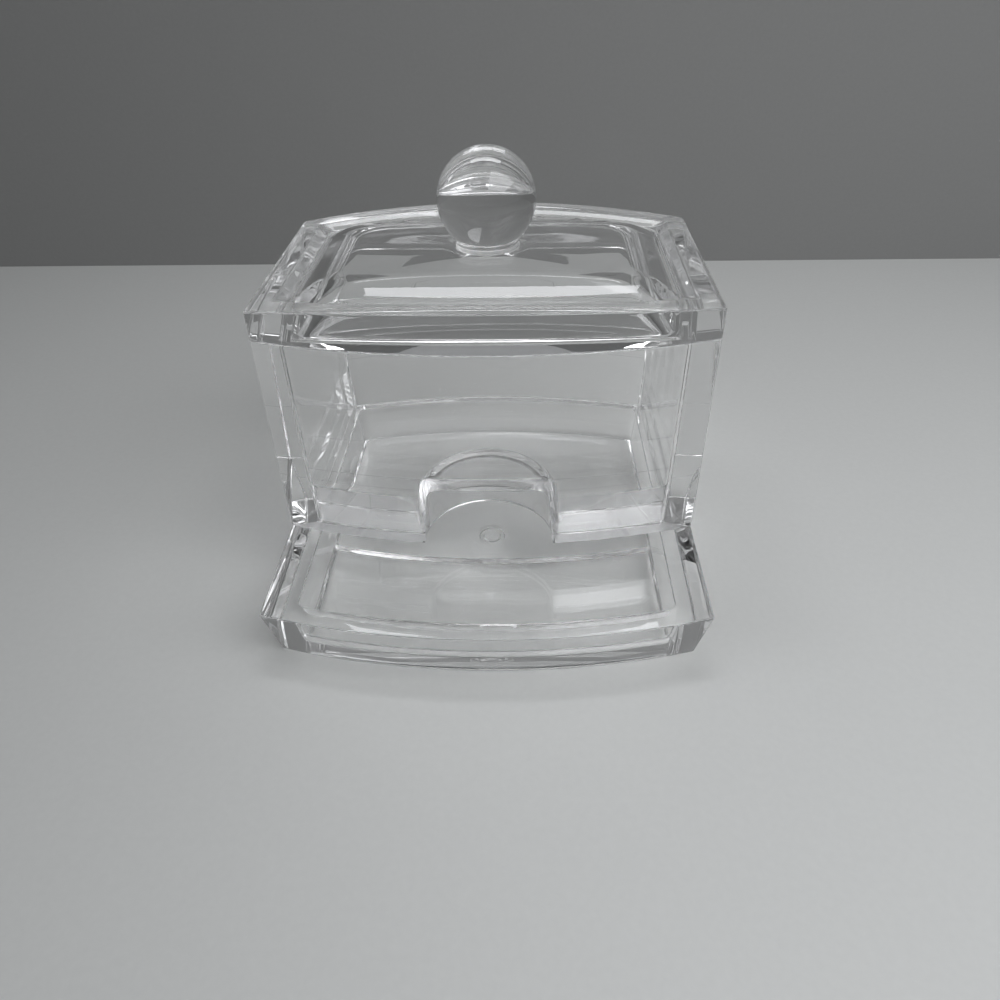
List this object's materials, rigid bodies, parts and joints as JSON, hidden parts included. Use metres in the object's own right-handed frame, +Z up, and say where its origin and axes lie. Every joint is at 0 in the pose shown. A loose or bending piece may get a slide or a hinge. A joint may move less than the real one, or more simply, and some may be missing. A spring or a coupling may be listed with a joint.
{
  "type": "cotton swab dispenser",
  "caption": "Clear plastic cotton swab dispenser: bowed hopper on a base tray with a roll-out slot and finger recess, under a lift-off lid with a ball knob.",
  "frame": {"origin": "middle of the overall box, on the table", "axes": "+Z up, -Y towards the tray's open front, +X to the right as seen from the front"},
  "size_m": [0.1, 0.103, 0.0954],
  "materials": {
    "clear_tray": "polished clear polystyrene",
    "clear_hopper": "polished clear polystyrene",
    "clear_lid": "polished clear polystyrene",
    "clear_knob": "polished clear polystyrene"
  },
  "bodies": {
    "box": {"base_tray": "clear_tray", "hopper": "clear_hopper"},
    "lid": {"lid": "clear_lid", "knob": "clear_knob"}
  },
  "joints": [
    {"name": "lid_lift", "type": "slide", "parent": "box", "child": "lid", "axis": [0, 0, 1], "range_m": [0, 0.06]}
  ]
}
